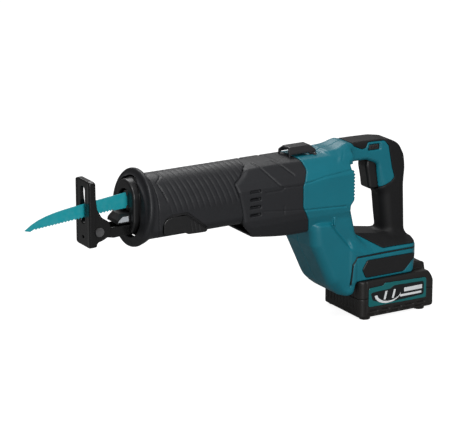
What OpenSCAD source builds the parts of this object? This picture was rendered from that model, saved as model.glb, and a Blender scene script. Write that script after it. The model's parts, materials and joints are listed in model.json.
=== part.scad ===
// Cordless reciprocating saw, drawn as an assembly of separate pieces.
// X runs from the blade tip (-) to the battery's rear (+), Z is up and Y runs across the saw.
// The pieces are drawn with Z = 0 at the underside of the battery's case. stand() then sets the saw on
// its feet and moves it along X, so the origin is the middle of the overall box, on the ground.

/* [Blade and stroke] */
// Length of the stroke
stroke = 32; // [20:1:32]
// Height of the slider's axis
slider_z = 187; // [186.5:0.5:187.5]
// Thickness of the blade
blade_t = 1.3; // [0.9:0.1:1.6]
// Distance between two teeth of the blade
tooth_pitch = 4.2; // [3:0.1:6]
// Depth of the teeth
tooth_h = 1.6; // [0.8:0.1:2]

/* [Shoe] */
// Width of the shoe's plate
shoe_w = 35; // [30:1:36]
// Thickness of the shoe's plate
shoe_t = 8; // [5:0.5:9]
// Width of the slot that the blade works in
slot_w = 10; // [8:0.5:12]

/* [Barrel] */
// Half width of the rubber sleeve, which is also the radius of its round top
boot_r = 38.5; // [38.5:0.1:39]
// Height of the barrel's axis
barrel_z = 177; // [177:0.5:178]
// Height of the sleeve's flat base
barrel_base = 144.5; // [144:0.1:145]
// Half width of the guard behind the nose
guard_r = 46.6; // [44:0.5:48]

/* [Drive] */
// Place of the crank's axis along the saw
crank_x = 42; // [42:0.1:42.2]
// Number of teeth on the crank gear
gear_teeth = 40; // [40:40:40]
// Number of teeth on the pinion
pinion_teeth = 12; // [12:12:12]
// Height of the motor's axis
motor_z = 168; // [168:0.5:168]
// Outer radius of the motor's stator
stator_r = 30; // [26:0.5:31]

/* [Housing] */
// Half width of the motor housing
housing_w = 40; // [38:0.5:42]
// Half width of the rear handle
grip_w = 17.5; // [17:0.5:18]

/* [Battery] */
// Half width of the battery
pack_w = 42; // [40:0.5:44]
// Height of the battery's case
pack_h = 47; // [47:0.5:47]
// Radius of one cell
cell_r = 8.7; // [8:0.1:8.7]
// Height of the feet under the case
foot_h = 3; // [1:0.5:4]

/* [Hidden] */
$fn = 48;
crank_throw = stroke / 2;
fit_gap = 0.05;
tip_x = -271;
nose_x = -141;
boot_x0 = -116;
boot_x1 = -2;
gear_r = 29;
gear_top_z = 158;
gear_tooth_h = 3.4;
cell_pitch = 17.5;
pack_x0 = 163;
pack_x1 = 276;
shoe_x = -196;
shoe_pin_x = -184;
shoe_pin_z = 160;
lever_x = -100;
lever_z = 158;
teal = [0.16, 0.50, 0.56];
black = [0.12, 0.12, 0.13];
dark = [0.24, 0.24, 0.25];
steel = [0.70, 0.71, 0.73];
cast = [0.55, 0.56, 0.58];
copper = [0.72, 0.40, 0.20];

// ---- helpers --------------------------------------------------------------

// A side outline of [x, z] points, carried across the saw from y0 to y1
module side(points, y0, y1) {
    translate([0, y1, 0]) rotate([90, 0, 0]) linear_extrude(y1 - y0) polygon(points);
}

// A cross section drawn in [y, z], carried along the saw from x0 to x1
module along(x0, x1) {
    translate([x0, 0, 0]) rotate([90, 0, 90]) linear_extrude(x1 - x0) children();
}

// A round bar along X
module bar_x(y, z, r, x0, x1) {
    translate([x0, y, z]) rotate([0, 90, 0]) cylinder(r = r, h = x1 - x0);
}

// A round bar along Y
module bar_y(x, z, r, y0, y1) {
    translate([x, y0, z]) rotate([-90, 0, 0]) cylinder(r = r, h = y1 - y0);
}

// A block from its lowest to its highest corner
module block(low, high) {
    translate(low) cube(high - low);
}

// A flat rectangle with round corners, about the origin
module rounded(w, h, r) {
    square([w - 2 * r, h], center = true);
    square([w, h - 2 * r], center = true);
    for (sx = [-1, 1], sy = [-1, 1])
        translate([sx * (w / 2 - r), sy * (h / 2 - r)]) circle(r);
}

// A ring along X
module ring_x(y, z, r_out, r_in, x0, x1) {
    difference() {
        bar_x(y, z, r_out, x0, x1);
        bar_x(y, z, r_in, x0 - 1, x1 + 1);
    }
}

// The barrel's cross section, less inset all round: a round top on flat sides and a flat base
function arc(y, z, r, a0, a1) =
    [for (i = [0 : 6]) let (a = a0 + (a1 - a0) * i / 6) [y + r * cos(a), z + r * sin(a)]];
function barrel_outline(inset) =
    let (w = boot_r - inset, b = barrel_base + inset, r = 13 - inset)
        concat(arc(0, barrel_z, w, 0, 90), arc(0, barrel_z, w, 105, 180),
            arc(r - w, b + r, r, 180, 270), arc(w - r, b + r, r, 270, 360));

// Raises the saw onto its feet and centres it along X
module stand() {
    translate([-(tip_x + pack_x1) / 2, 0, foot_h]) children();
}

// A screw along Y: its head is at y_head and its shank runs dir * len from there
module screw_y(x, z, y_head, dir, len, head_r, shank_r) {
    s = dir > 0 ? 0 : 1;
    bar_y(x, z, head_r, y_head - s * 3, y_head - s * 3 + 3);
    bar_y(x, z, shank_r, y_head - s * len, y_head - s * len + len);
}

// ---- blade and clamp ------------------------------------------------------

tooth_line_x0 = -258;
tooth_line_z0 = 169.4;
tooth_line_rise = 0.081;
tooth_count = floor((-152 - tooth_line_x0) / tooth_pitch);
function tooth_z(x) = tooth_line_z0 + tooth_line_rise * (x - tooth_line_x0);
blade_teeth = [
    for (i = [0 : tooth_count - 1])
        for (k = [0, 1])
            let (x = tooth_line_x0 + i * tooth_pitch + k * 0.35 * tooth_pitch)
                [x, tooth_z(x) + (k == 0 ? tooth_h : 0)]
];
// The back of the blade is a curve that falls ever faster towards the tip
back_x0 = tip_x;
back_x1 = -139.5;
back_z1 = 197.1;
back_steps = 14;
function back_z(x) =
    let (u = (back_x1 - x) / (back_x1 - back_x0))
        back_z1 - 14.1 * u - 13 * pow(u, 7);
blade_back = [
    for (i = [0 : back_steps])
        let (x = back_x1 + (back_x0 - back_x1) * i / back_steps)
            [x, back_z(x)]
];

module blade() {
    color(teal) difference() {
        union() {
            side(concat(blade_back, [[-264, 168.2]], blade_teeth, [[-139.5, 178.4]]),
                -blade_t / 2, blade_t / 2);
            side([[-140, 181], [-120, 181], [-118, 183], [-118, 191], [-120, 193], [-140, 193]],
                -blade_t / 2, blade_t / 2);
        }
        bar_y(-127, slider_z, 2.55, -5, 5);
    }
}

module clamp_body() {
    color(steel) difference() {
        union() {
            bar_x(0, slider_z, 10, -138, -112);
            bar_x(0, slider_z, 11.5, -115.5, -112);
        }
        block([-139, -blade_t / 2 - fit_gap, 180.9], [-117.8, blade_t / 2 + fit_gap, 193.1]);
        bar_y(-127, slider_z, 2.5, -11, 11);
    }
}

module clamp_pin() {
    color(steel) bar_y(-127, slider_z, 2.5, -9.5, 9.5);
}

module clamp_sleeve() {
    color(dark) difference() {
        union() {
            bar_x(0, slider_z, 12.3, -138, -116);
            for (a = [0 : 60 : 300])
                translate([0, 0, slider_z]) rotate([a, 0, 0]) bar_x(0, 11.8, 1.5, -137, -119);
        }
        bar_x(0, slider_z, 10 + fit_gap, -139, -115);
    }
}

// ---- slider ---------------------------------------------------------------

module slider_rod() {
    color(steel) difference() {
        union() {
            bar_x(0, slider_z, 9, -112, 30);
            block([crank_x - 13, -27, 180], [crank_x + 13, 27, 194]);
        }
        // yoke slot that the crank's roller would push in
        block([crank_x - 6.1, -24, 179], [crank_x + 6.1, 24, 187]);
    }
}

module front_bushing() {
    color(cast) ring_x(0, slider_z, 12.5, 9 + fit_gap, -90, -62);
}

module rear_bushing() {
    color(cast) ring_x(0, slider_z, 12.5, 9 + fit_gap, -26, -4);
}

module rod_seal() {
    color(black) ring_x(0, slider_z, 12.5, 9 + fit_gap, -94, -90);
}

// ---- shoe -----------------------------------------------------------------

module shoe() {
    color(black) difference() {
        union() {
            translate([shoe_x, 0, 180.5]) rotate([90, 0, 90]) linear_extrude(shoe_t)
                rounded(shoe_w, 80, 5);
            // two ears that flare back to the pivot
            for (s = [-1, 1])
                side([[-190, 196], [-188, 196], [-186, 184], [-179, 173], [-171, 168], [-168, 161],
                    [-171, 153], [-178, 149], [-190, 146]], s == 1 ? 13 : -17.5, s == 1 ? 17.5 : -13);
        }
        // the slot that the blade works in
        translate([shoe_x - 1, 0, 190]) rotate([90, 0, 90]) linear_extrude(shoe_t + 3)
            rounded(slot_w, 46, 4.9);
        // room for the holder's round end, and a hole low on the face
        block([-192, -13, 149], [-187, 13, 171]);
        bar_x(0, 160, 3, shoe_x - 1, -190);
        bar_y(shoe_pin_x, shoe_pin_z, 4, -20, 20);
    }
}

module shoe_pin() {
    color(steel) {
        bar_y(shoe_pin_x, shoe_pin_z, 3.95, -17.5, 17.5);
        bar_y(shoe_pin_x, shoe_pin_z, 5.4, -19.5, -17.5);
        bar_y(shoe_pin_x, shoe_pin_z, 5.4, 17.5, 19.5);
    }
}

module shoe_holder() {
    color(black) difference() {
        union() {
            side([[-184, 166], [-176, 163.5], [-166, 161], [-60, 161], [-60, 148.6], [-150, 148.6],
                [-162, 147.8], [-176, 150], [-184, 154]], -12, 12);
            bar_y(shoe_pin_x, shoe_pin_z, 7, -12, 12);
        }
        // the channel along its top
        block([-172, -9, 151], [-59, 9, 168]);
        bar_y(shoe_pin_x, shoe_pin_z, 4, -20, 20);
        // the row of notches that the cam locks in
        for (i = [0 : 4])
            bar_y(lever_x - 12 + 6 * i, 156, 1.6, -13, -8);
    }
}

module shoe_lever() {
    color(black) difference() {
        union() {
            bar_y(lever_x, lever_z, 10, -38.4, -34);
            side([[lever_x, 168], [-80, 169], [-60, 153.5], [-51, 148], [-54, 145.5], [-64, 145.5],
                [-77, 146], [-82, 148.5], [-88, 151], [-90, 148.3], [lever_x, 148]], -38.4, -34);
        }
        bar_y(lever_x, lever_z, 3.5, -36, -33);
    }
}

// The window in the sleeve and the casting that the lever lies in
module lever_window() {
    bar_y(lever_x, lever_z, 10.7, -50, -33.6);
    side([[lever_x - 0.3, 168.7], [-79, 171.2], [-46, 145], [-46, 135], [-110.7, 135], [-110.7, 158]],
        -50, -33.6);
}

module lever_cam() {
    color(steel) {
        bar_y(lever_x, lever_z, 3.5, -36, -16.5);
        bar_y(lever_x + 0.5, lever_z, 2.4, -16.5, -12.6);
    }
}

// ---- nose -----------------------------------------------------------------

module nose_outline(w, h) {
    translate([0, 179.5]) rounded(w, h, w / 2 - 0.1);
}

module nose_cap() {
    color(black) difference() {
        union() {
            along(nose_x, -136) nose_outline(42, 67);
            along(-136, -125) nose_outline(48, 70);
            along(-125, boot_x0 - 0.1) nose_outline(56, 72);
        }
        along(nose_x + 3, boot_x0 + 1) nose_outline(36, 62);
        // ways for the blade clamp and the lamp through the front wall, and for the shoe's holder
        bar_x(0, slider_z, 15, nose_x - 1, nose_x + 4);
        block([nose_x - 1, -9.3, 155], [nose_x + 4, 9.3, 173.6]);
        block([nose_x - 1, -12.4, 140], [boot_x0 + 1, 12.4, 162]);
    }
}

module nose_guard() {
    color(black) difference() {
        union() {
            translate([-133.5, 0, 178]) rotate([0, 97.2, 0]) cylinder(r = guard_r, h = 7.2);
            along(-130, boot_x0) polygon(barrel_outline(0));
        }
        along(-150, -136) nose_outline(42, 67);
        along(-136, -125) nose_outline(48, 70);
        along(-125.1, boot_x0 + 1) nose_outline(56, 72);
        block([-150, -12.4, 148.3], [boot_x0 + 1, 12.4, 162]);
    }
}

lens_side = [[-156.4, 165.4], [-155.6, 167.6], [-150.4, 171.8], [-143, 171.8], [-143, 165.4]];

module lamp_housing() {
    color(black) difference() {
        union() {
            side([[-158, 164], [-157, 168], [-151, 173.2], [-141.3, 173.2], [-141.3, 164]], -12.4, 12.4);
            side([[-142, 164], [-142, 173.2], [-136, 173.2], [-134, 164]], -9, 9);
            // arms that hold it to the nose
            block([-136.5, -18, 166.5], [-134, 18, 169.5]);
        }
        side(lens_side, -13, -9);
    }
}

module lamp_lens() {
    color([0.8, 0.82, 0.85]) side(lens_side, -12.8, -9);
}

// ---- gearbox --------------------------------------------------------------

module crank_box() {
    intersection() {
        side([[8, 142], [18, 132], [75, 132], [75, 208], [8, 208]], -40, 40);
        along(0, 80) polygon([[-22, 208], [-34, 192], [-35.6, 184], [-35.6, 150], [-32, 131], [32, 131],
            [35.6, 150], [35.6, 184], [34, 192], [22, 208]]);
    }
}

module gear_housing() {
    color(cast) difference() {
        union() {
            // barrel that carries the slider
            along(-115.9, 8) polygon(barrel_outline(2));
            crank_box();
        }
        // way for the blade clamp
        bar_x(0, slider_z, 17, -117, -95.5);
        // channel of the shoe's holder
        block([-117, -12.1, 148.4], [-44, 12.1, 161.2]);
        // seats of the seal and of the two bushings
        bar_x(0, slider_z, 12.5, -96, -62);
        bar_x(0, slider_z, 12.5, -26, -4);
        // hollow between the two bushings
        along(-60, -29) polygon(barrel_outline(6));
        bar_x(0, slider_z, 10, -70, 48);
        // chamber of the crank and the yoke, and the mouth that the lid closes
        block([12.5, -30, 137], [71.8, 30, 195.5]);
        block([20, -28, 131], [68, 28, 138]);
        block([70, -31, 142], [76, 31, 194]);
        // side way for the lever's cam
        bar_y(lever_x, lever_z, 3.5 + fit_gap, -40, -11);
        lever_window();
    }
}

module gearbox_lid() {
    color(cast) difference() {
        union() {
            block([20.1, -27.9, 132], [67.9, 27.9, 136]);
            translate([crank_x, 0, 132]) cylinder(r = 15, h = 9);
        }
        translate([crank_x, 0, 134]) cylinder(r = 11, h = 8);
    }
}

module bearing_plate() {
    color(cast) difference() {
        union() {
            block([72, -30.9, 142.1], [75, 30.9, 193.9]);
            bar_x(0, motor_z, 37, 75, 79);
            bar_x(0, motor_z, 16, 79, 85);
        }
        bar_x(0, motor_z, 11, 76, 86);
        bar_x(0, motor_z, 6, 70, 87);
    }
}

gearbox_screw_places = [[24, -24], [24, 24], [62, -24], [62, 24]];
module gearbox_screws() {
    color(steel) for (p = gearbox_screw_places)
        translate([p[0], p[1], 128.5]) cylinder(r = 4, h = 3.5);
}

module insulation_boot() {
    color(dark) difference() {
        along(boot_x0 + 0.1, boot_x1) polygon(barrel_outline(0));
        along(boot_x0 - 1, boot_x1 + 1) polygon(barrel_outline(2));
        lever_window();
    }
}

// ---- crank and motor ------------------------------------------------------

module crank_gear() {
    color(steel) difference() {
        translate([crank_x, 0, 0]) {
            translate([0, 0, 152]) cylinder(r = gear_r, h = gear_top_z - 152);
            translate([0, 0, 134]) cylinder(r = 5, h = 18);
            // straight teeth round the rim of the upper face
            for (i = [0 : gear_teeth - 1])
                rotate([0, 0, 360 / gear_teeth * (i + 0.5)])
                    translate([23, -0.75, gear_top_z - 0.5]) cube([5.7, 1.5, gear_tooth_h + 0.5]);
        }
        translate([crank_x + crank_throw, 0, 150]) cylinder(r = 4, h = 20);
    }
}

module crank_pin() {
    color(steel) translate([crank_x + crank_throw, 0, 152]) cylinder(r = 4, h = 25.4);
}

module crank_roller() {
    color(steel) translate([crank_x + crank_throw, 0, 0]) difference() {
        translate([0, 0, 169]) cylinder(r = 6, h = 8.4);
        translate([0, 0, 168]) cylinder(r = 4, h = 12);
    }
}

// A half disc under the gear, opposite to the crank pin
module counterweight() {
    color(cast) translate([crank_x, 0, 0]) difference() {
        translate([0, 0, 143]) cylinder(r = 24, h = 9);
        translate([4, -30, 142]) cube([30, 60, 12]);
        translate([0, 0, 142]) cylinder(r = 5, h = 12);
    }
}

module bearing_z(z, r_out, r_in, h) {
    color(steel) translate([crank_x, 0, z]) difference() {
        cylinder(r = r_out, h = h);
        translate([0, 0, -1]) cylinder(r = r_in, h = h + 2);
    }
}

module lower_crank_bearing() {
    bearing_z(134, 11, 5 + fit_gap, 4);
}

module upper_crank_bearing() {
    bearing_z(138.1, 11, 5 + fit_gap, 2.8);
}

// A straight-toothed pinion outline, with its teeth on the half pitch
function pinion_outline(n, r_root, r_tip) = [
    for (i = [0 : n - 1])
        for (k = [[-8, r_root], [-3, r_tip], [3, r_tip], [8, r_root]])
            let (a = 360 / n * i + k[0])
                [k[1] * cos(a), k[1] * sin(a)]
];

module pinion() {
    color(steel) along(crank_x + 23.4, crank_x + 29) translate([0, motor_z]) rotate(-90)
        polygon(pinion_outline(pinion_teeth, 6.2, 9));
}

module motor_shaft() {
    color(steel) bar_x(0, motor_z, 4, crank_x + 29, 156);
}

module rotor_magnets() {
    color(dark) difference() {
        union() {
            bar_x(0, motor_z, 13.5, 104, 140);
            for (a = [0 : 90 : 270])
                translate([0, 0, motor_z]) rotate([a, 0, 0]) bar_x(0, 8, 6, 103, 141);
        }
        bar_x(0, motor_z, 4, 102, 142);
    }
}

module fan() {
    color(black) difference() {
        union() {
            bar_x(0, motor_z, 29, 87, 89);
            bar_x(0, motor_z, 8, 87, 97);
            for (a = [0 : 24 : 336])
                translate([0, 0, motor_z]) rotate([a, 0, 0])
                    block([88.5, -0.7, 12], [96, 0.7, 28]);
        }
        bar_x(0, motor_z, 4, 86, 98);
    }
}

module front_motor_bearing() {
    color(steel) ring_x(0, motor_z, 11, 4 + fit_gap, 76, 84);
}

module rear_motor_bearing() {
    color(steel) ring_x(0, motor_z, 9, 4 + fit_gap, 149, 156);
}

module stator_core() {
    color(cast) difference() {
        bar_x(0, motor_z, stator_r, 105, 139);
        bar_x(0, motor_z, 14.6, 104, 140);
        for (a = [30 : 60 : 330])
            translate([0, 0, motor_z]) rotate([a, 0, 0]) block([104, -4.5, 16.5], [140, 4.5, 26]);
    }
}

module stator_coils() {
    color(copper) for (a = [0 : 60 : 300])
        translate([0, 0, motor_z]) rotate([a, 0, 0])
            for (x = [101, 139])
                block([x, -6, 16.5], [x + 4, 6, 26]);
}

module sensor_board() {
    color([0.1, 0.35, 0.2]) ring_x(0, motor_z, 28, 15, 144.5, 146);
}

// ---- outer shells ---------------------------------------------------------

// The line where the gear cover meets the housing, from the top down
parting_line = [[84, 214.5], [89, 199], [81, 182], [81, 155], [90, 137.6], [95, 119]];

// Cross section of the gear cover and of the motor's housing
module motor_section() {
    polygon([for (s = [1, -1]) each [for (i = [0 : 6])
        let (p = [[12, 213], [26, 209.5], [35.5, 195], [39.2, 187], [39.2, 149], [37.4, 140], [29, 112]]
            [s > 0 ? i : 6 - i]) [s * p[0], p[1]]]]);
}

module gear_cover() {
    color(dark) difference() {
        intersection() {
            side(concat([[-2, 214.5]], parting_line, [[69, 116.5], [13, 126], [-2, 144.5]]),
                -housing_w, housing_w);
            along(-14, 97) motor_section();
        }
        along(-3, 8) polygon(barrel_outline(2));
        crank_box();
        bar_x(0, motor_z, 37.1, 74, 98);
        block([18, -28, 128.4], [68, 28, 133]);
        hook_seat();
        // cooling slots
        for (s = [-1, 1], i = [0 : 3])
            block([10, s * 38 - 3, 154.4 + 9.5 * i], [24, s * 38 + 3, 157 + 9.5 * i]);
    }
}

barrel_side = concat(
    [for (i = [len(parting_line) - 1 : -1 : 0]) parting_line[i] + [0.4, 0]],
    [[150, 217], [150, 196], [156, 192], [156, 156], [151, 147], [149, 112], [96, 112]]
);
leg_side = [[95.8, 119], [98.5, 100], [112.5, 70], [123, 46], [129, 39], [147, 28], [157, 28.5], [161.5, 36],
    [161.5, 60], [200, 62], [200, 84], [172, 98], [162, 110], [154.5, 143],
    [141, 149], [101, 148], [95.8, 125]];
handle_side = [[137, 213], [150, 216.5], [158, 218.8], [180, 218.8], [206, 217.4], [225, 211.6], [234, 203.4],
    [241.3, 190], [244.5, 172], [247.6, 120], [249, 80], [207, 80], [217.2, 97], [214, 120], [211, 146],
    [206, 151], [204, 188], [188, 193.8], [159, 193.8], [137, 195]];
foot_side = [[158, pack_h + 0.3], [158.5, 101], [170, 103.5], [214, 97], [250, 90.5], [254, 84], [254, 62],
    [246, pack_h + 0.3]];

// The whole body of the shells, before it is hollowed and parted
module shell_body() {
    intersection() {
        side(barrel_side, -housing_w, housing_w);
        along(70, 160) motor_section();
    }
    side(leg_side, -34, 34);
    side(handle_side, -grip_w + 2, grip_w - 2);
    intersection() {
        side(foot_side, -38.5, 38.5);
        along(150, 260) polygon([[-38.5, 40], [38.5, 40], [38.5, 83], [20, 105], [-20, 105], [-38.5, 83]]);
    }
}

panel_side = [[168, 61.6], [175, 72.5], [244, 72.5], [228, 51], [173, 51]];

// Seat of the hook, deeper behind its pin, where its end swings down
module hook_seat() {
    block([70, -13.6, 211], [118, 13.6, 220]);
    block([105, -13.6, 205.4], [123, 13.6, 220]);
    bar_y(hook_x, hook_z, 2.05, -17, 17);
}

// Hollows for what the shells hold
module shell_hollows() {
    bar_x(0, motor_z, 34, 79.1, 148);
    bar_x(0, motor_z, 9, 140, 156.1);
    bar_x(0, motor_z, 37.1, 74, 86);
    // leg: controller and leads
    side([[106, 127], [110, 92], [120, 66], [148, 48], [157, 56], [157, 98], [148, 127]], -26, 26);
    // handle: switch and trigger
    block([214, -12, 150], [237, 12, 190]);
    block([214, -12, 189], [232, 12, 200]);
    block([186.8, -11.3, 153.4], [227, 11.3, 192.6]);
    block([189, -20, 205.8], [205, 20, 212.8]);
    // foot: terminal block and battery rails
    block([168, -28.3, 40], [260, 28.3, 58]);
    block([168, -32.3, 50.2], [260, 32.3, 54.3]);
    block([172, -20, 57], [210, 20, 72]);
    // way for the motor's leads
    block([129, -15, 120], [137, 15, 140]);
    hook_seat();
    // seats of the side panels
    for (s = [-1, 1])
        side(panel_side, s > 0 ? 37 : -39, s > 0 ? 39 : -37);
}

screw_places = [[98, 205], [103, 128], [140, 205], [153.5, 130], [140, 42], [192, 78], [246, 78], [224, 141],
    [222, 207]];
screw_depth = [28, 34.5, 28, 33.5, 33.5, 37.5, 37.5, 15, 15];

module screw_holes() {
    for (i = [0 : len(screw_places) - 1]) {
        bar_y(screw_places[i][0], screw_places[i][1], 1.8, -8, 50);
        bar_y(screw_places[i][0], screw_places[i][1], 3.5, screw_depth[i] - 5, 50);
    }
}

module housing_left() {
    color(teal) difference() {
        shell_body();
        shell_hollows();
        screw_holes();
        block([60, 0, 0], [280, 60, 240]);
    }
}

module housing_right() {
    color(teal) difference() {
        shell_body();
        shell_hollows();
        screw_holes();
        block([60, -60, 0], [280, 0, 240]);
    }
}

module housing_screws() {
    color(steel) for (i = [0 : len(screw_places) - 1])
        screw_y(screw_places[i][0], screw_places[i][1], screw_depth[i] - 2, -1,
            screw_depth[i] + 5, 3.5, 1.8);
}

module grip_cover() {
    color(black) difference() {
        union() {
            // lower grip and rear spine
            side([[204, 153], [209.6, 146], [212.6, 120], [215.8, 98], [251, 92], [249.2, 120], [246, 172],
                [243, 190.6], [235.6, 204.6], [226, 213.2], [220, 214],
                [237, 188], [237, 166]], -grip_w, grip_w);
            // strip along the top
            side([[162, 216.5], [162, 220], [180, 220], [206.2, 218.7], [226, 213], [222, 211]],
                -grip_w, grip_w);
        }
        shell_body();
        block([186, -12, 40], [245, 12, 214]);
        block([200, -15.5, 118], [244.4, 15.5, 208]);
    }
}

module side_panels() {
    color(black) for (s = [-1, 1])
        side(panel_side, s > 0 ? 37 : -39, s > 0 ? 39 : -37);
}

module trigger() {
    color(black) difference() {
        side([[189.4, 186], [191, 192], [218, 192], [218, 154.5], [197, 153.8], [194.5, 156]], -11, 11);
        // finger hollow along its front edges
        for (s = [-1, 1])
            translate([189.4, s * 12, 140]) cylinder(r = 2.5, h = 60);
    }
}

module switch_module() {
    color(dark) {
        block([227.5, -10, 152], [236, 10, 188]);
        block([227.5, -4, 187], [231, 4, 198]);
    }
}

module lock_off_button() {
    color(black) {
        block([189.2, -16.6, 206], [204.8, 13, 212.2]);
        block([192, 12, 207], [202, 16.6, 211.6]);
    }
}

module controller() {
    color([0.1, 0.35, 0.2]) difference() {
        block([123, -22, 70], [153, 22, 100]);
        block([126, -19, 73], [150, 19, 101]);
    }
    color(copper) for (y = [-12, 0, 12])
        block([129, y - 4, 73], [147, y + 4, 90]);
}

module terminal_block() {
    color(dark) block([172.2, -19.8, 58.1], [209.8, 19.8, 71.8]);
    color(copper) for (y = [-12, -4, 4, 12])
        block([180, y - 0.6, 48.5], [204, y + 0.6, 58.2]);
}

module motor_leads() {
    color(black) for (y = [-12, 0, 12])
        translate([133, y, 100.1]) cylinder(r = 1.6, h = 34);
}

// ---- hook -----------------------------------------------------------------

hook_x = 111;
hook_z = 212.5;
// A folded plate: the outline of its cross section, outside and then inside
hook_section = [[-13, 214], [-13, 216.5], [-7.5, 222.5], [7.5, 222.5], [13, 216.5], [13, 214], [10.6, 214],
    [10.6, 215.6], [6.5, 220], [-6.5, 220], [-10.6, 215.6], [-10.6, 214]];

module hanging_hook() {
    color([0.35, 0.35, 0.36]) difference() {
        union() {
            intersection() {
                along(76, 116) polygon(hook_section);
                side([[74.5, 214], [81, 224], [109, 224], [118, 214]], -20, 20);
            }
            for (s = [-1, 1]) {
                block([108, s * 11.8 - 1.2, 211.6], [114, s * 11.8 + 1.2, 216]);
                bar_y(hook_x, hook_z, 3, s * 11.8 - 1.2, s * 11.8 + 1.2);
            }
        }
        bar_y(hook_x, hook_z, 2.05, -30, 30);
    }
}

module hook_pin() {
    color(steel) bar_y(hook_x, hook_z, 2, -17, 17);
}

// ---- battery --------------------------------------------------------------

module pack_outline(shrink) {
    translate([(pack_x0 + pack_x1) / 2, 0])
        rounded(pack_x1 - pack_x0 - 2 * shrink, 2 * pack_w - 2 * shrink, 8);
}

module pack_case_lower() {
    color(black) difference() {
        union() {
            linear_extrude(24) pack_outline(0);
            // feet at the four corners
            for (sx = [0, 1], sy = [-1, 1])
                translate([sx == 0 ? pack_x0 + 12 : pack_x1 - 20, sy * 34, -foot_h])
                    cylinder(r = 7, h = foot_h + 1);
        }
        translate([0, 0, 2]) linear_extrude(30) pack_outline(2);
        // screw holes through the feet
        for (x = [pack_x0 + 12, pack_x1 - 20], y = [-34, 34])
            translate([x, y, -foot_h - 1]) cylinder(r = 2.6, h = foot_h + 4);
    }
}

module pack_case_upper() {
    color(dark) difference() {
        union() {
            intersection() {
                translate([0, 0, 24]) linear_extrude(pack_h - 24) pack_outline(0);
                side([[160, 20], [160, pack_h], [264, pack_h], [pack_x1, 30], [pack_x1, 20]], -50, 50);
            }
            // rails that slide into the foot
            block([172, -28, pack_h - 1], [246, 28, 50.5]);
            block([172, -32, 50.5], [246, 32, 54]);
            // rear hump round the release button
            side([[246.1, 45], [246.1, 54], [254.3, 57], [262, 54], [268, 41]], -28, 28);
        }
        translate([0, 0, 20]) linear_extrude(pack_h - 22) pack_outline(2);
        // terminal slots
        for (y = [-12, -4, 4, 12])
            block([160, y - 1.2, pack_h - 1], [206, y + 1.2, 55]);
        block([174, -18, 44], [212, 18, 50.5]);
        pack_pocket();
    }
    // floor and walls of the pocket
    color(dark) difference() {
        block([254, -21.5, 31], [pack_x1 - 1, 21.5, 45.5]);
        pack_pocket();
    }
}

// Room for the release button
module pack_pocket() {
    block([255.5, -20, 33], [pack_x1 + 1, 20, 60]);
}

module pack_cells() {
    color([0.2, 0.45, 0.7]) for (i = [0 : 4], z = [12, 31])
        bar_y(174.3 + cell_pitch * i, z, cell_r, -33, 33);
}

module pack_board() {
    color([0.1, 0.35, 0.2]) block([176, -30, 41], [246, 30, 42.6]);
}

module pack_terminals() {
    color(copper) for (y = [-12, -4, 4, 12], s = [-1, 1])
        block([176, y + s * 1.5 - 0.3, 42.6], [200, y + s * 1.5 + 0.3, 49]);
}

module pack_button() {
    color(black) difference() {
        side([[256, 44], [256, 55.5], [260, 54.6], [274.5, 50.5], [pack_x1 - 0.2, 39], [262, 39], [262, 44]],
            -19.6, 19.6);
        translate([259, 0, 43]) cylinder(r = 2.4, h = 6);
    }
}

module pack_button_spring() {
    color(steel) difference() {
        translate([259, 0, 33.2]) cylinder(r = 2.2, h = 15.6);
        translate([259, 0, 32]) cylinder(r = 1.5, h = 18);
    }
}

module pack_labels() {
    color([0, 0.47, 0.43]) for (s = [-1, 1])
        block([176, s > 0 ? pack_w : -pack_w - 0.4, 11], [262, s > 0 ? pack_w + 0.4 : -pack_w, 37]);
}

module pack_screws() {
    color(steel) for (x = [pack_x0 + 12, pack_x1 - 20], y = [-34, 34])
        translate([x, y, -foot_h + 0.6]) cylinder(r = 2.6, h = 4.6);
}

stand() blade();
stand() shoe();
stand() shoe_pin();
stand() shoe_holder();
stand() shoe_lever();
stand() lever_cam();
stand() clamp_body();
stand() clamp_sleeve();
stand() clamp_pin();
stand() slider_rod();
stand() front_bushing();
stand() rear_bushing();
stand() rod_seal();
stand() nose_cap();
stand() nose_guard();
stand() lamp_housing();
stand() lamp_lens();
stand() gear_housing();
stand() gearbox_lid();
stand() bearing_plate();
stand() gearbox_screws();
stand() insulation_boot();
stand() crank_gear();
stand() crank_pin();
stand() crank_roller();
stand() counterweight();
stand() upper_crank_bearing();
stand() lower_crank_bearing();
stand() pinion();
stand() motor_shaft();
stand() rotor_magnets();
stand() fan();
stand() front_motor_bearing();
stand() rear_motor_bearing();
stand() stator_core();
stand() stator_coils();
stand() sensor_board();
stand() gear_cover();
stand() housing_left();
stand() housing_right();
stand() housing_screws();
stand() grip_cover();
stand() trigger();
stand() switch_module();
stand() lock_off_button();
stand() controller();
stand() terminal_block();
stand() side_panels();
stand() hanging_hook();
stand() hook_pin();
stand() motor_leads();
stand() pack_case_lower();
stand() pack_case_upper();
stand() pack_cells();
stand() pack_board();
stand() pack_terminals();
stand() pack_button();
stand() pack_button_spring();
stand() pack_labels();
stand() pack_screws();
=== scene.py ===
import json
import math

import bpy
import numpy as np
from mathutils import Matrix, Vector


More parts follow.
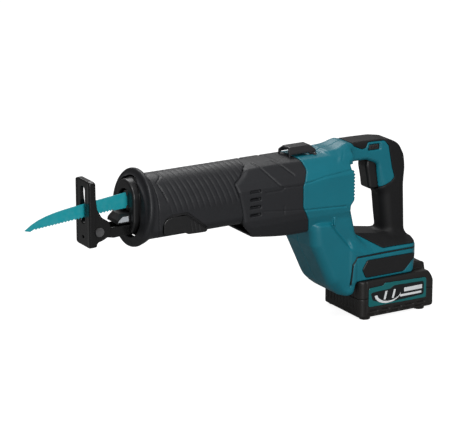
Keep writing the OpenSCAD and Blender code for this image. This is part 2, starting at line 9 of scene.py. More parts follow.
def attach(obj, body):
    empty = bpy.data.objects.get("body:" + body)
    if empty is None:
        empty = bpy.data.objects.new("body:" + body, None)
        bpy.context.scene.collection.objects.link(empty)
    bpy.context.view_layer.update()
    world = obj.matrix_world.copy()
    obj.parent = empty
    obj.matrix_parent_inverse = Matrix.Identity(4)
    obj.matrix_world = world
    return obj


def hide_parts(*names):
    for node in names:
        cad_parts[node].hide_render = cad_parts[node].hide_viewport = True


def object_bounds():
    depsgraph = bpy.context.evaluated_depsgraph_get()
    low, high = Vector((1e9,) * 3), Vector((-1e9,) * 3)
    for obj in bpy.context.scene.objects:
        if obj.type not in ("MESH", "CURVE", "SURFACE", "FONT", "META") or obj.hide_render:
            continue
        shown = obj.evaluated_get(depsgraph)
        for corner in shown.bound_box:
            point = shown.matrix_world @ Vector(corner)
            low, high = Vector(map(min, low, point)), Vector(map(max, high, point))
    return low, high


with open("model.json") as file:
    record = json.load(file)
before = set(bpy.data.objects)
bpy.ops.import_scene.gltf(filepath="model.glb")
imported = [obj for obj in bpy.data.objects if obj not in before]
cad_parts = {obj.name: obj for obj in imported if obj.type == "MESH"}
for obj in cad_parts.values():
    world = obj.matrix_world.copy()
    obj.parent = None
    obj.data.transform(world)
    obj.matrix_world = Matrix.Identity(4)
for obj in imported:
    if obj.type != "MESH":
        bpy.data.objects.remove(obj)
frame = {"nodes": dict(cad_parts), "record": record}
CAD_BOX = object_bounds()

bl_info = {
    "name": "Reciprocating saw",
    "version": (1, 0, 0),
    "blender": (4, 5, 0),
    "location": "3D View > Sidebar > Saw",
    "description": "Skins, finishes and stage of a cordless reciprocating saw",
    "category": "Object",
}

# Shapes are worked out in millimetres in the saw's drawn frame: X runs from the blade's tip, at -271, to
# the battery's rear, Y across the saw and Z up from the underside of the battery's case. SHIFT takes
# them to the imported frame, whose box starts at the blade's tip and whose ground is under the feet.
TIP_X = -271.0
FOOT_H = 3.0
SHIFT = np.array([CAD_BOX[0][0] * 1000 - TIP_X, 0.0, FOOT_H])
ROOT = "root"

# The camera: what it looks at in the drawn frame, how far off it stands and how far it is moved aside and
# up, in mm, with the lens and sensor widths in mm.
CAMERA_AIM = np.array([29.0, 0.0, 120.0])
DISTANCE, ASIDE, ABOVE = 2945.95, 27.79, 24.645
LENS, SENSOR = 194.17, 36.0
# Room left between two skins that meet, and half the gap between the housing's halves, in mm
JOINT_GAP, HALF_GAP = 0.35, 0.12


# ---- settings ----------------------------------------------------------------

def colour(name, description, default):
    return bpy.props.FloatVectorProperty(name=name, description=description, default=default,
                                         subtype="COLOR", min=0.0, max=1.0, size=3)


def length(name, description, default):
    return bpy.props.FloatProperty(name=name, description=description, default=default)


class SawSizes(bpy.types.PropertyGroup):
    shell_step: length("Shell grid", "Spacing in mm of the grid that the shells are worked out on", 0.85)
    fine_step: length("Fine grid", "Spacing in mm of the grid that small pieces are worked out on", 0.5)
    boot_r: length("Sleeve radius", "Half width in mm of the rubber sleeve", 38.5)
    rib_pitch: length("Rib pitch", "Distance in mm between the sleeve's ribs", 7.4)
    rib_depth: length("Rib depth", "Depth in mm of the grooves between the ribs", 0.35)
    camera_turn: length("Camera turn", "Turn in degrees of the camera about the saw", -30.615)
    camera_rise: length("Camera rise", "Rise in degrees of the camera over the ground", 16.572)


class SawColours(bpy.types.PropertyGroup):
    shell: colour("Shell", "Moulded housing", (0.003, 0.120, 0.160))
    cover: colour("Cover", "Gear cover and rubber sleeve", (0.010, 0.0105, 0.0125))
    grip: colour("Grip", "Soft overmould", (0.0055, 0.0055, 0.006))
    metal: colour("Black metal", "Blackened steel of the shoe", (0.0025, 0.0025, 0.0026))
    blade: colour("Blade", "Paint on the blade", (0.004, 0.235, 0.275))
    battery: colour("Battery", "Case of the battery", (0.0105, 0.0098, 0.0092))
    label: colour("Label", "Printed label of the battery", (0.002, 0.105, 0.110))


def sizes():
    return bpy.context.scene.saw_sizes


def colours():
    return bpy.context.scene.saw_colours


# ---- fields: signed distances in mm, negative inside --------------------------

def fillet(points, radii):
    """An outline whose corners are arcs: each corner is cut back by r / tan(half its angle) on both sides,
    and the arc between the two cuts has the radius r. radii is one number or one per corner."""
    p = np.array(points, float)
    radii = np.broadcast_to(np.asarray(radii, float), len(p))
    out = []
    for i, r in enumerate(radii):
        a, b, c = p[i - 1], p[i], p[(i + 1) % len(p)]
        u, v = (a - b), (c - b)
        lu, lv = np.linalg.norm(u), np.linalg.norm(v)
        u, v = u / lu, v / lv
        half = math.acos(np.clip(u @ v, -1, 1)) / 2
        cut = min(r / math.tan(half), 0.48 * lu, 0.48 * lv) if half < 1.55 else 0
        if cut < 0.05:
            out.append(b)
            continue
        r = cut * math.tan(half)
        mid = b + (u + v) / np.linalg.norm(u + v) * r / math.sin(half)
        s, e = b + u * cut - mid, b + v * cut - mid
        a0 = math.atan2(s[1], s[0])
        sweep = (math.atan2(e[1], e[0]) - a0 + math.pi) % (2 * math.pi) - math.pi
        n = max(2, int(abs(sweep) * r / 3 + abs(sweep) * 3) + 1)
        t = a0 + np.linspace(0, sweep, n)
        out.extend(mid + r * np.stack([np.cos(t), np.sin(t)], 1))
    return np.array(out)


def outline(u, v, points, radii=0.0):
    """Distance from (u, v) to a filleted polygon: the least distance to any side, negative where a ray
    from the point crosses the polygon an odd number of times."""
    p = fillet(points, radii)
    best = np.full(np.broadcast(u, v).shape, 1e9, np.float32)
    inside = np.zeros(best.shape, bool)
    for a, b in zip(p, np.roll(p, -1, 0)):
        ex, ey = b - a
        wx, wy = u - a[0], v - a[1]
        t = np.clip((wx * ex + wy * ey) / (ex * ex + ey * ey + 1e-12), 0, 1)
        best = np.minimum(best, (wx - t * ex) ** 2 + (wy - t * ey) ** 2)
        crosses = ((a[1] <= v) != (b[1] <= v)) & (wx < ex * (v - a[1]) / (ey if abs(ey) > 1e-12 else 1e-12))
        inside ^= crosses
    return np.where(inside, -np.sqrt(best), np.sqrt(best))


def segment(u, v, a, b):
    """Distance in the plane from (u, v) to the line from a to b."""
    a, b = np.array(a, float), np.array(b, float)
    e = b - a
    t = np.clip(((u - a[0]) * e[0] + (v - a[1]) * e[1]) / (e @ e), 0, 1)
    return np.hypot(u - a[0] - t * e[0], v - a[1] - t * e[1])


def line_path(u, v, points):
    """Distance in the plane from (u, v) to a chain of lines."""
    best = segment(u, v, points[0], points[1])
    for a, b in zip(points[1:-1], points[2:]):
        best = np.minimum(best, segment(u, v, a, b))
    return best


def rounded_both(d, e, r):
    """Both of two fields, with an edge of radius r where they meet."""
    a, b = d + r, e + r
    return np.minimum(np.maximum(a, b), 0) + np.hypot(np.maximum(a, 0), np.maximum(b, 0)) - r


def either(d, e, k=0.0):
    """One or other of two fields, blended over a width k: min(d, e) - h^2 / 4k, where h is what is left of
    k after their difference."""
    if k <= 0:
        return np.minimum(d, e)
    h = np.maximum(k - np.abs(d - e), 0)
    return np.minimum(d, e) - h * h / (4 * k)


def both(d, e, k=0.0):
    return -either(-d, -e, k)


def cut(d, e, k=0.0):
    """The first field without the second."""
    return both(d, -e, k)


def slab(d, across, half, r):
    """A plane field d carried across to both sides by half, with edges of radius r."""
    return rounded_both(d, np.abs(across) - half, r)


def box(x, y, z, low, high, r=0.0):
    """A box with edges of radius r."""
    mid = [(a + b) / 2 for a, b in zip(low, high)]
    q = [np.abs(c - m) - (b - a) / 2 + r for c, m, a, b in zip((x, y, z), mid, low, high)]
    outer = np.sqrt(sum(np.maximum(k, 0) ** 2 for k in q))
    return outer + np.minimum(np.maximum(np.maximum(q[0], q[1]), q[2]), 0) - r


def rod_x(x, y, z, z0, r, x0, x1, edge=0.3):
    return slab(np.hypot(y, z - z0) - r, x - (x0 + x1) / 2, (x1 - x0) / 2, edge)


def rod_y(x, y, z, x0, z0, r, y0, y1, edge=0.3):
    return slab(np.hypot(x - x0, z - z0) - r, y - (y0 + y1) / 2, (y1 - y0) / 2, edge)


def step_up(x, low, high):
    """0 below low, 1 above high and a smooth rise 3t^2 - 2t^3 between."""
    t = np.clip((x - low) / (high - low), 0, 1)
    return t * t * (3 - 2 * t)


def groove(distance, width, depth):
    """Depth of a round-bottomed groove at a distance from its middle."""
    return depth * np.exp(-(distance / width) ** 2)


# ---- meshes --------------------------------------------------------------------

def add_mesh(name, points_mm, faces):
    """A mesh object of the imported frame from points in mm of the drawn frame."""
    mesh = bpy.data.meshes.new(name)
    mesh.from_pydata(((points_mm + SHIFT) / 1000).tolist(), [], faces.tolist())
    mesh.polygons.foreach_set("use_smooth", np.full(len(mesh.polygons), True))
    mesh.validate()
    mesh.update()
    piece = bpy.data.objects.new(name, mesh)
    bpy.context.collection.objects.link(piece)
    return piece


def skin(name, field, low, high, step):
    """The surface where a field is zero. The field is sampled on a grid. Each grid cell that the surface
    crosses gets one point, the mean of the crossings on its edges, which then slides along the field's
    slope onto the surface. Each grid edge that crosses joins the points of its four cells in a face."""
    axes = [np.arange(a - step, b + 2 * step, step) for a, b in zip(low, high)]
    x, y, z = axes[0][:, None, None], axes[1][None, :, None], axes[2][None, None, :]
    f = np.broadcast_to(field(x, y, z), [len(a) for a in axes]).astype(np.float32)
    inside = f < 0
    count = np.zeros([len(a) - 1 for a in axes], np.int8)
    corners = np.array([[i, j, k] for i in (0, 1) for j in (0, 1) for k in (0, 1)])
    n = count.shape
    for i, j, k in corners:
        count += inside[i:n[0] + i, j:n[1] + j, k:n[2] + k]
    cells = np.argwhere((count > 0) & (count < 8))
    index = np.full(n, -1, np.int32)
    index[tuple(cells.T)] = np.arange(len(cells))
    total = np.zeros((len(cells), 3))
    hits = np.zeros(len(cells))
    for a in corners:
        for axis in range(3):
            if a[axis]:
                continue
            b = a.copy()
            b[axis] = 1
            fa = f[tuple((cells + a).T)]
            fb = f[tuple((cells + b).T)]
            crossing = (fa < 0) != (fb < 0)
            t = fa / np.where(crossing, fa - fb, 1)
            total[crossing] += (a + t[:, None] * (b - a))[crossing]
            hits += crossing
    points = np.array([a[0] for a in axes]) + (cells + total / hits[:, None]) * step
    eps = step * 0.25
    for _ in range(2):
        at = field(*points.T)
        slope = np.stack([field(*(points + eps * d).T) - at for d in np.eye(3)], 1) / eps
        move = -at[:, None] * slope / np.maximum((slope ** 2).sum(1), 0.2)[:, None]
        limit = step * 0.45 / np.maximum(np.linalg.norm(move, axis=1), 1e-9)
        points = points + move * np.minimum(limit, 1)[:, None]
    faces = []
    for axis in range(3):
        i, j = [(1, 2), (2, 0), (0, 1)][axis]
        lo = [slice(0, s) for s in f.shape]
        hi = [slice(0, s) for s in f.shape]
        lo[axis], hi[axis] = slice(0, f.shape[axis] - 1), slice(1, f.shape[axis])
        first = inside[tuple(lo)]
        edges = np.argwhere(first != inside[tuple(hi)])
        keep = (edges[:, i] > 0) & (edges[:, j] > 0) & (edges[:, i] < n[i]) & (edges[:, j] < n[j])
        edges = edges[keep]
        outwards = first[tuple(edges.T)]
        di, dj = np.zeros(3, int), np.zeros(3, int)
        di[i], dj[j] = 1, 1
        quad = np.stack([index[tuple((edges - o).T)] for o in (di + dj, dj, di * 0, di)], 1)
        quad[~outwards] = quad[~outwards][:, ::-1]
        faces.append(quad)
    return add_mesh(name, points, np.concatenate(faces))


# ---- finishes ------------------------------------------------------------------

def group_socket(group, name, kind, default=None, output=False):
    socket = group.interface.new_socket(name=name, in_out="OUTPUT" if output else "INPUT",
                                        socket_type="NodeSocket" + kind)
    if default is not None:
        socket.default_value = default
    return socket


def make_moulded_surface():
    """Node group: colour with slow cloudy variation, a fine moulded grain, and paler worn edges."""
    group = bpy.data.node_groups.new("moulded_surface", "ShaderNodeTree")
    group_socket(group, "Base", "Color")
    group_socket(group, "Worn", "Color")
    group_socket(group, "Grain size", "Float", 1500.0)
    group_socket(group, "Grain height", "Float", 0.2)
    group_socket(group, "Roughness", "Float", 0.5)
    group_socket(group, "Wear", "Float", 0.4)
    for name, kind in (("Color", "Color"), ("Rough", "Float"), ("Normal", "Vector")):
        group_socket(group, name, kind, output=True)
    new, link = group.nodes.new, group.links.new
    given, out = new("NodeGroupInput"), new("NodeGroupOutput")
    where = new("ShaderNodeTexCoord")
    cloud = new("ShaderNodeTexNoise")
    cloud.inputs["Scale"].default_value = 22
    cloud.inputs["Detail"].default_value = 5
    grain = new("ShaderNodeTexNoise")
    grain.inputs["Detail"].default_value = 2
    scuff = new("ShaderNodeTexNoise")
    scuff.inputs["Scale"].default_value = 160
    scuff.inputs["Detail"].default_value = 6
    for tex in (cloud, grain, scuff):
        link(where.outputs["Object"], tex.inputs["Vector"])
    link(given.outputs["Grain size"], grain.inputs["Scale"])
    geometry = new("ShaderNodeNewGeometry")
    edge = new("ShaderNodeMapRange")
    edge.inputs["From Min"].default_value = 0.53
    edge.inputs["From Max"].default_value = 0.62
    link(geometry.outputs["Pointiness"], edge.inputs["Value"])
    chips = new("ShaderNodeMapRange")
    chips.inputs["From Min"].default_value = 0.35
    chips.inputs["From Max"].default_value = 0.65
    link(scuff.outputs["Fac"], chips.inputs["Value"])
    worn = new("ShaderNodeMath")
    worn.operation = "MULTIPLY"
    link(edge.outputs["Result"], worn.inputs[0])
    link(chips.outputs["Result"], worn.inputs[1])
    amount = new("ShaderNodeMath")
    amount.operation = "MULTIPLY"
    link(worn.outputs[0], amount.inputs[0])
    link(given.outputs["Wear"], amount.inputs[1])
    shade = new("ShaderNodeMapRange")
    shade.inputs["To Min"].default_value = 0.86
    shade.inputs["To Max"].default_value = 1.12
    link(cloud.outputs["Fac"], shade.inputs["Value"])
    varied = new("ShaderNodeVectorMath")
    varied.operation = "SCALE"
    link(given.outputs["Base"], varied.inputs[0])
    link(shade.outputs["Result"], varied.inputs["Scale"])
    mix = new("ShaderNodeMix")
    mix.data_type = "RGBA"
    link(amount.outputs[0], mix.inputs["Factor"])
    link(varied.outputs[0], mix.inputs["A"])
    link(given.outputs["Worn"], mix.inputs["B"])
    link(mix.outputs["Result"], out.inputs["Color"])
    rough = new("ShaderNodeMapRange")
    rough.inputs["To Min"].default_value = -0.06
    rough.inputs["To Max"].default_value = 0.06
    link(scuff.outputs["Fac"], rough.inputs["Value"])
    total = new("ShaderNodeMath")
    link(rough.outputs["Result"], total.inputs[0])
    link(given.outputs["Roughness"], total.inputs[1])
    link(total.outputs[0], out.inputs["Rough"])
    bump = new("ShaderNodeBump")
    bump.inputs["Distance"].default_value = 0.00012
    link(given.outputs["Grain height"], bump.inputs["Strength"])
    link(grain.outputs["Fac"], bump.inputs["Height"])
    link(bump.outputs["Normal"], out.inputs["Normal"])
    return group


def finish(name, base, worn=None, rough=0.5, metal=0.0, grain=1500.0, height=0.2, wear=0.4, coat=0.0,
           gloss=0.35):
    """A material: the moulded_surface group feeds one Principled shader."""
    name = "saw_" + name
    made = bpy.data.materials.get(name)
    if made:
        return made
    group = bpy.data.node_groups.get("moulded_surface") or make_moulded_surface()
    made = bpy.data.materials.new(name)
    made.use_nodes = True
    tree = made.node_tree
    shader = tree.nodes["Principled BSDF"]
    surface = tree.nodes.new("ShaderNodeGroup")
    surface.node_tree = group
    worn = worn or tuple(min(1, c * 1.9 + 0.02) for c in base)
    surface.inputs["Base"].default_value = (*base, 1)
    surface.inputs["Worn"].default_value = (*worn, 1)
    surface.inputs["Grain size"].default_value = grain
    surface.inputs["Grain height"].default_value = height
    surface.inputs["Roughness"].default_value = rough
    surface.inputs["Wear"].default_value = wear
    tree.links.new(surface.outputs["Color"], shader.inputs["Base Color"])
    tree.links.new(surface.outputs["Rough"], shader.inputs["Roughness"])
    tree.links.new(surface.outputs["Normal"], shader.inputs["Normal"])
    shader.inputs["Metallic"].default_value = metal
    shader.inputs["Coat Weight"].default_value = coat
    shader.inputs["Specular IOR Level"].default_value = gloss
    return made


def shell_plastic():
    return finish("shell_plastic", tuple(colours().shell), rough=0.42, grain=1800, height=0.16, wear=0.25)


def cover_plastic():
    return finish("cover_plastic", tuple(colours().cover), rough=0.55, grain=1300, height=0.35, wear=0.3)


def sleeve_rubber():
    return finish("sleeve_rubber", tuple(c * 0.9 for c in colours().cover), rough=0.5, grain=900, height=0.3,
                  wear=0.25)


def grip_rubber():
    return finish("grip_rubber", tuple(colours().grip), gloss=0.25, rough=0.6, grain=1100, height=0.5, wear=0.2)


def black_metal():
    return finish("black_metal", tuple(colours().metal), worn=(0.03, 0.03, 0.03), rough=0.26, metal=0.0,
                  grain=600, height=0.08, wear=0.5, coat=0.1, gloss=0.35)


def black_plastic():
    return finish("black_plastic", (0.006, 0.006, 0.0065), worn=(0.03, 0.03, 0.032), rough=0.4, grain=1500,
                  height=0.25, wear=0.3, gloss=0.4)


def bright_steel():
    return finish("bright_steel", (0.5, 0.5, 0.51), rough=0.32, metal=1.0, grain=700, height=0.1, wear=0.4)


def case_plastic():
    return finish("case_plastic", tuple(colours().battery), rough=0.45, grain=1500, height=0.3, wear=0.35)


def done(piece, material, body, slot, *nodes):
    """Gives a piece its finish and its body, and hides the nodes that it stands for; slot is not used."""
    piece.data.materials.clear()
    piece.data.materials.append(material)
    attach(piece, body)
    if nodes:
        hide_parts(*nodes)
    return piece


# ---- body of the saw: fields shared by the shells -------------------------------

# where the gear cover meets the housing, from the top down
PARTING = [(84, 214.5), (89, 199), (81, 182), (81, 155), (90, 137.6), (95, 119)]
BARREL_Z = 177.0


def parting(x, z):
    """Distance to the parting line, negative on the gear cover's side."""
    return outline(x, z, [(-40, 240), (76, 240)] + PARTING + [(97, 60), (-40, 60)], [0, 0, 2, 6, 5, 5, 6,
                    2, 0, 0])


def barrel_section(y, z, inset=0.0):
    """The sleeve's cross section: a round top on flat sides, a flat base and round lower corners."""
    r = sizes().boot_r - inset
    base = 144.5 + inset
    corner = 13.0 - inset
    q = np.hypot(np.maximum(np.abs(y) - r + corner, 0), np.maximum(base + corner - z, 0)) - corner
    low = np.maximum(q, np.abs(y) - r)
    return np.where(z > BARREL_Z, np.hypot(y, z - BARREL_Z) - r, low)


def motor_section(y, z):
    """Cross section of the gear cover and the motor housing."""
    return outline(np.abs(y), z, [(-60, 213), (12, 213), (26, 209.5), (35.5, 195), (39.2, 187), (39.2, 149),
                                  (37.4, 140), (29, 118), (-60, 112)], [0, 8, 8, 6, 2, 2, 6, 12, 0])


def cover_body(x, y, z):
    """The gear cover before its details: the motor section along X, cut by its side outline."""
    side = outline(x, z, [(-13, 196), (1, 204), (9, 211.5), (27, 213.6), (54, 213.6), (58, 212.5), (100, 212.5),
                          (100, 116.5), (69, 116.5), (13, 126), (-2, 144.5), (-5, 165), (-9, 182)],
                   [3, 5, 6, 4, 1, 1, 0, 0, 14, 10, 8, 20, 20])
    section = motor_section(y, z)
    return both(section, side, 5.0)


def cover_lines(x, z):
    """Depth of the creases on the gear cover's side."""
    d = groove(line_path(x, z, [(20, 221), (25, 212), (35, 201), (49, 186), (54, 183.5)]), 0.9, 0.9)
    d = d + groove(line_path(x, z, [(43, 220), (51, 213), (70, 196)]), 0.9, 0.9)
    d = d + groove(line_path(x, z, [(27, 181), (49, 181), (54, 183.5), (82, 182.5)]), 0.8, 0.6)
    d = d + groove(line_path(x, z, [(25, 158.5), (54, 155), (86, 152)]), 0.8, 0.5)
    return d + groove(segment(x, z, (54, 160), (54, 151)), 0.8, 0.5)


def gear_cover_field(x, y, z):
    body = cover_body(x, y, z)
    side_lines = cover_lines(x, z) * step_up(np.abs(y), 8, 14)
    body = body + side_lines
    body = both(body, parting(x, z) + JOINT_GAP, 1.0)
    for i in range(4):
        zc = 155.9 + 9.6 * i
        vent = box(x, np.abs(y), z, (6.5, 36.4, zc - 1.9), (21.5, 45, zc + 1.9), 1.4)
        body = cut(body, vent, 0.8)
    front = np.maximum(barrel_section(y, z, 2.0), x - 8)
    body = cut(body, front)
    room = outline(np.abs(y), z, [(-60, 208.2), (22, 208.2), (34.1, 192.1), (35.8, 184), (35.8, 150),
                                  (32.1, 130.8),
                                  (-60, 130.8)])
    body = cut(body, np.maximum(room, np.maximum(-30 - x, x - 75.1)))
    body = cut(body, rod_x(x, y, z, 168.0, 37.1, 70, 99))
    body = cut(body, box(x, y, z, (17.8, -28.2, 128), (68.2, 28.2, 134)))
    return cut(body, box(x, y, z, (69.8, -13.8, 211.2), (95, 13.8, 226), 0.3))


def motor_field(x, y, z):
    """The teal motor housing: its section narrows over the rear saddle, and its rear edge is scalloped."""
    scallop = 0.9 * np.sin((z - 155) * 2 * math.pi / 4.2) * step_up(z, 155, 157) * (1 - step_up(z, 189, 191))
    side = outline(x - scallop * (x > 140), z,
                   [(70, 230), (70, 112.6), (152, 112.6), (151, 147), (155.5, 153), (155.5, 189), (152.3,
                    193.5),
                    (152.3, 200), (160, 206), (160, 230)], [0, 0, 0, 3, 3, 2, 2, 3, 3, 0])
    body = rounded_both(motor_section(y, z) + 0.3, side, 3.0)
    top = outline(x, z, [(60, 212.7), (128, 212.7), (140, 212.2), (151, 216.2), (160, 218.8), (160, 60),
                         (60, 60)],
                  [0, 10, 10, 12, 0, 0, 0])
    hump = rounded_both(outline(np.abs(y), z, [(-60, 218.6), (13, 218.6), (18, 213), (30, 205), (30, 150),
                                               (-60, 150)],
                                [0, 6, 8, 8, 0, 0]),
                        outline(x, z, [(132, 196), (143, 212), (152, 219), (158, 221), (158, 196)],
                                [0, 6, 6, 0, 0]), 2.0)
    body = both(body, top, 2.0)
    creases = groove(line_path(x, z, [(80, 184.5), (90.6, 185.2), (113, 188.5), (157, 191.6)]), 1.0, 1.1)
    creases = creases + groove(line_path(x, z, [(80, 151.5), (142, 147.8)]), 1.0, 1.1)
    creases = creases + groove(line_path(x, z, [(152, 217), (141, 204)]), 1.0, 0.7) * (np.abs(y) > 8)
    return either(body + creases, hump, 4.0)


LEG = [(95.8, 121), (98.5, 100), (112.5, 70), (123, 46.5), (130, 39), (140, 31.5), (150, 29.2), (157, 31),
       (161, 38), (170, 50), (176, 90), (165, 104), (161.8, 110), (154, 144), (145, 156), (112, 156),
       (95.8, 130)]


def leg_field(x, y, z):
    """The leg: its side outline carried across, wider in its lower bulge than above the ledge."""
    ledge = outline(x, z, [(60, 130.5), (96, 130.5), (122, 128), (131, 116), (141, 104), (152, 92), (160, 84),
                           (160, 20), (60, 20)], [0, 4, 6, 6, 6, 6, 6, 0, 0])
    bulge = step_up(-ledge, -2.5, 3.5)
    dip = step_up(-ledge, -14, 0) * (1 - bulge)
    half = 34.5 + 4.0 * bulge - 1.6 * dip
    half = half - 6 * step_up(-z, -58, -28) * step_up(-x, -158, -128)
    side = outline(x, z, LEG, [0, 6, 20, 12, 8, 12, 8, 6, 4, 6, 6, 8, 6, 4, 4, 0, 0])
    rear = step_up(x, 130, 150)
    r = 13.0 - 5.0 * rear
    return slab(side, y, half, r)


def deck_height(x, y):
    """Height of the foot's crowned top: highest along the middle, falling to the side walls."""
    ridge = np.interp(x, [150, 166, 214, 246, 256], [112, 104.5, 96.5, 91.5, 86]).astype(np.float32)
    slope = np.interp(x, [160, 185, 205, 240], [0.75, 1.0, 0.86, 0.38]).astype(np.float32)
    return ridge - slope * np.maximum(np.abs(y) - 18, 0)


def foot_field(x, y, z):
    """The foot: a round-cornered plan, a side outline and a crowned top."""
    plan = outline(x, np.abs(y), [(140, -50), (256, -50), (256, 25), (243, 38.5), (140, 38.5)], [0, 0, 10,
                    9, 0])
    side = outline(x, z, [(152, 47.4), (244, 47.4), (250, 58), (253.5, 66), (253.5, 84), (256, 90), (256, 130),
                          (152, 130)], [0, 6, 6, 4, 3, 0, 0, 0])
    body = both(plan + 0 * z, side + 0 * y, 3.0)
    return both(body, (z - deck_height(x, y)) * 0.8, 4.0)


HANDLE = [(128, 213), (146, 214.5), (158, 218.3), (180, 218.3), (206, 217.5), (223, 214.6), (234.8, 208.6),
          (242.2, 194.5), (245, 176), (246.2, 146), (248.5, 84), (207, 84), (216.6, 98), (213.6, 120),
          (210.8, 146),
          (205, 152), (203, 187), (187, 194), (160, 194), (150, 190), (128, 190)]
HANDLE_R = [0, 8, 10, 10, 20, 20, 20, 20, 30, 30, 4, 4, 10, 20, 8, 5, 6, 7, 8, 2, 0]


def handle_field(x, y, z, grow=0.0):
    """The D-shaped handle: its side outline carried across and rounded almost to a tube."""
    side = outline(x, z, HANDLE, HANDLE_R) - grow
    half = 17.0 + grow + 3.0 * step_up(-x, -172, -150)
    return slab(side, y, half, 5.5 + 7.0 * (1 - step_up(z, 150, 188)))


def body_field(x, y, z):
    """Everything that the housing is moulded as, in one blended field."""
    motor = motor_field(x, y, z)
    leg = leg_field(x, y, z)
    handle = handle_field(x, y, z)
    foot = foot_field(x, y, z)
    body = either(motor, leg, 1.5)
    body = either(body, foot, 5.0)
    return either(body, handle, 7.0)


def grip_region(x, y, z):
    """Where the soft overmould lies, negative inside: the top strip, the spine behind the side patch, the
    lower grip and the deck of the foot."""
    patch = outline(x, z, [(-90, 240), (158, 240), (163, 221), (167, 214.5), (179, 209.0), (184.5, 210),
                           (187.5, 216.4), (213, 215.4), (218.6, 208), (224, 180), (228, 167), (223, 161.8),
                           (205, 155), (199, 150), (199, 90), (-90, 90)],
                    [0, 0, 2, 3, 3, 2, 3, 3, 4, 8, 4, 4, 0, 0, 0, 0])
    low_line = outline(x, z, [(166, 150), (166, 106.5), (169, 103.5), (201, 84.0), (241, 84.5), (262, 82),
                              (262, 150)],
                       [0, 2, 3, 8, 4, 0, 0])
    lower = np.maximum(low_line, z - 112)
    strip = np.maximum(np.maximum(np.abs(y) - 5.2, 236 - x), np.maximum(z - 166, 94 - z))
    return np.maximum(np.minimum(np.maximum(-patch, 104 - z), lower), -strip)


def shell_hollow(x, y, z):
    """What the shells are hollow for: the motor, the leg's electronics, the switch and trigger, and the
    battery's rails."""
    d = rod_x(x, y, z, 168.0, 34.0, 60, 148)
    d = np.minimum(d, rod_x(x, y, z, 168.0, 37.1, 60, 86))
    leg = outline(x, z, [(106, 127), (110, 92), (120, 66), (148, 48), (157, 56), (157, 98), (148, 127)])
    d = np.minimum(d, np.maximum(leg, np.abs(y) - 26))
    d = np.minimum(d, box(x, y, z, (214, -12, 150), (237, 12, 190)))
    d = np.minimum(d, box(x, y, z, (214, -12, 189), (232, 12, 200)))
    d = np.minimum(d, box(x, y, z, (180, -11.5, 153.2), (227, 11.5, 192.8), 0.5))
    d = np.minimum(d, box(x, y, z, (188.8, -24, 205.6), (205.2, 24, 213.0), 1.0))
    d = np.minimum(d, rod_y(x, y, z, 111, 212.5, 6.4, -13.8, 13.8))
    d = np.minimum(d, box(x, y, z, (168, -28.3, 30), (262, 28.3, 58)))
    d = np.minimum(d, box(x, y, z, (168, -32.3, 50.2), (262, 32.3, 54.3)))
    return np.minimum(d, box(x, y, z, (69.8, -13.8, 211.2), (120.6, 13.8, 226), 0.3))


PANEL = [(168, 62), (175, 73.2), (244.6, 72.4), (244.6, 66), (229, 51), (173, 51)]


def housing_field(x, y, z):
    body = body_field(x, y, z)
    body = cut(body, grip_region(x, y, z) - 0.3, 0.6)
    body = both(body, -(parting(x, z) - JOINT_GAP), 1.0)
    # seam that outlines the foot's side wall
    seam = line_path(x, z, [(150.5, 44), (152.5, 60), (153.5, 71), (160.5, 79), (239.5, 79.2), (256, 77)])
    body = body + groove(seam, 1.0, 1.7) * (np.abs(y) > 30)
    # recess round the side panel, and the one round the lock-off button
    panel = slab(outline(x, z, PANEL, [3, 4, 2, 3, 5, 4]) - 0.35, np.abs(y) - 40.0, 3.0, 0.4)
    body = cut(body, panel, 0.3)
    frame_recess = slab(outline(x, z, [(187, 204.4), (190, 215), (206.5, 214.6), (207.5, 204.8)], 2.0),
                        np.abs(y) - 17.4, 1.4, 0.4)
    body = cut(body, frame_recess, 0.5)
    # small rib over the ledge
    rib = box(x, np.abs(y), z, (126.8, 30, 124.5), (129.6, 36.3, 135), 0.8)
    body = either(body, rib, 1.0)
    return cut(body, shell_hollow(x, y, z))


def grip_field(x, y, z):
    body = either(handle_field(x, y, z, 0.35), foot_field(x, y, z) - 0.3, 7.0)
    body = both(body, grip_region(x, y, z) + 0.15, 0.8)
    body = both(body, -(x - 158), 0.5)
    return cut(body, shell_hollow(x, y, z))


def halves(name, field, low, high, step):
    """The left and right halves of a field, split by a hair's gap at Y = 0."""
    left = skin(name + "_left", lambda x, y, z: both(field(x, y, z), y + HALF_GAP, 0.6), low, (high[0],
                    1.0, high[2]),
                step)
    right = skin(name + "_right", lambda x, y, z: both(field(x, y, z), HALF_GAP - y, 0.6), (low[0], -1.0,
                    low[2]), high,
                 step)
    return left, right


# ---- operators -------------------------------------------------------------------

class MakeHousing(bpy.types.Operator):
    """Makes the two halves of the moulded housing"""
    bl_idname = "saw.make_housing"
    bl_label = "Housing"

    def execute(self, context):
        left, right = halves("shell", housing_field, (80, -40, 28), (257, 40, 220), sizes().shell_step)
        done(right, shell_plastic(), ROOT, "teal_plastic", "housing_right")
        done(left, shell_plastic(), ROOT, "teal_plastic", "housing_left")
        return {"FINISHED"}


class MakeSeam(bpy.types.Operator):
    """Makes the dark joint line that runs round the foot's side walls"""
    bl_idname = "saw.make_seam"
    bl_label = "Foot seam"

    def execute(self, context):
        def seam(x, y, z):
            line = line_path(x, z, [(150.5, 44), (152.5, 60), (153.5, 71), (160.5, 79), (239.5, 79.2),
                                    (252, 78)])
            return both(both(line - 0.75, body_field(x, y, z) - 0.15, 0.2), 33 - np.abs(y))
        piece = skin("foot_seam", seam, (148, -40, 46), (254, 40, 81), 0.6)
        done(piece, black_plastic(), ROOT, "black_rubber")
        return {"FINISHED"}


